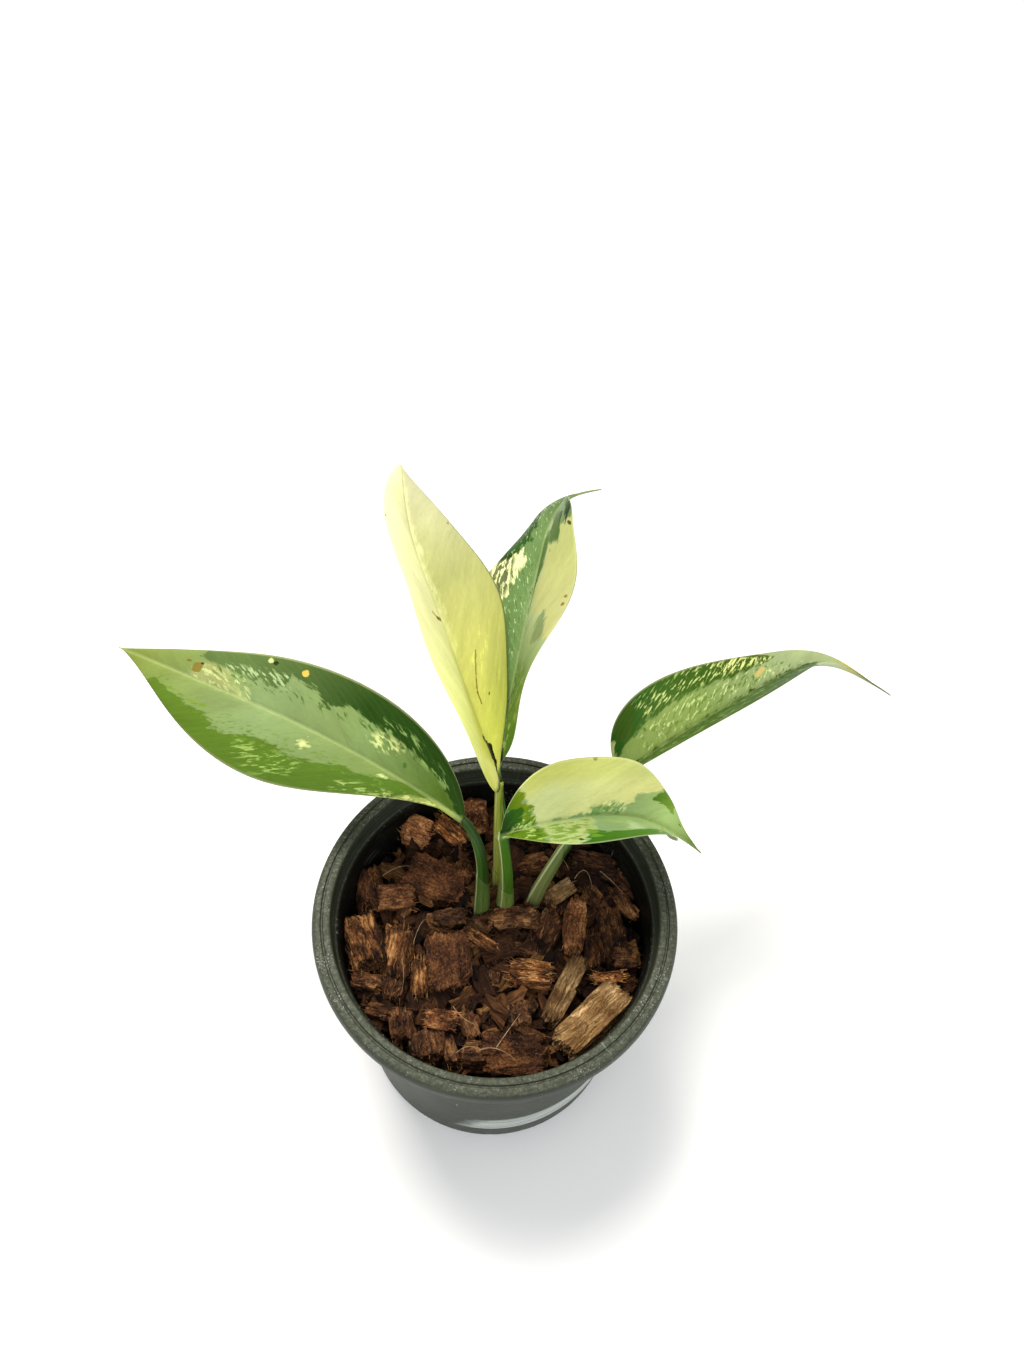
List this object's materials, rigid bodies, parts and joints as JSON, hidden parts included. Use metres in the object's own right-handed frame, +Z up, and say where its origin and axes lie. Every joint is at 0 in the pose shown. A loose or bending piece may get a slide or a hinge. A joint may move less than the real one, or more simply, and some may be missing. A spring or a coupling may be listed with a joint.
{
  "type": "potted variegated chinese evergreen",
  "caption": "Young Chinese evergreen with cream, sage and dark green variegated leaves, in a round nursery pot filled with chopped coconut husk.",
  "frame": {"origin": "centre of the pot's flat base, on the surface it stands on", "axes": "+Z up, +X to the right along the spread of the left and right leaves, +Y away from the side that the picture was taken from"},
  "size_m": [0.2667, 0.1809, 0.1992],
  "materials": {
    "pot_plastic": "moulded, dusty, faint gloss",
    "coconut_husk": "chopped, fibrous, dry",
    "leaf_stalk": "smooth, waxy",
    "leaf_blade": "smooth, waxy, variegated"
  },
  "bodies": {
    "root": {"pot": "pot_plastic", "husk_bed": "coconut_husk", "chip_01": "coconut_husk", "chip_02": "coconut_husk", "chip_03": "coconut_husk", "chip_04": "coconut_husk", "chip_05": "coconut_husk", "chip_06": "coconut_husk", "chip_07": "coconut_husk", "chip_08": "coconut_husk", "chip_09": "coconut_husk", "chip_10": "coconut_husk", "chip_11": "coconut_husk", "chip_12": "coconut_husk", "chip_13": "coconut_husk", "chip_14": "coconut_husk", "chip_15": "coconut_husk", "chip_16": "coconut_husk", "chip_17": "coconut_husk", "chip_18": "coconut_husk", "chip_19": "coconut_husk", "chip_20": "coconut_husk", "chip_21": "coconut_husk", "chip_22": "coconut_husk", "chip_23": "coconut_husk", "chip_24": "coconut_husk", "chip_25": "coconut_husk", "chip_26": "coconut_husk", "chip_27": "coconut_husk", "chip_28": "coconut_husk", "chip_29": "coconut_husk", "chip_30": "coconut_husk", "chip_31": "coconut_husk", "chip_32": "coconut_husk", "chip_33": "coconut_husk", "chip_34": "coconut_husk", "chip_35": "coconut_husk", "chip_36": "coconut_husk", "chip_37": "coconut_husk", "chip_38": "coconut_husk", "chip_39": "coconut_husk", "chip_40": "coconut_husk", "chip_41": "coconut_husk", "chip_42": "coconut_husk", "chip_43": "coconut_husk", "chip_44": "coconut_husk", "chip_45": "coconut_husk", "stalk_left": "leaf_stalk", "stalk_centre": "leaf_stalk", "stalk_rear": "leaf_stalk", "stalk_right": "leaf_stalk", "stalk_front": "leaf_stalk", "leaf_left": "leaf_blade", "leaf_centre": "leaf_blade", "leaf_rear": "leaf_blade", "leaf_right": "leaf_blade", "leaf_front": "leaf_blade"}
  },
  "joints": []
}
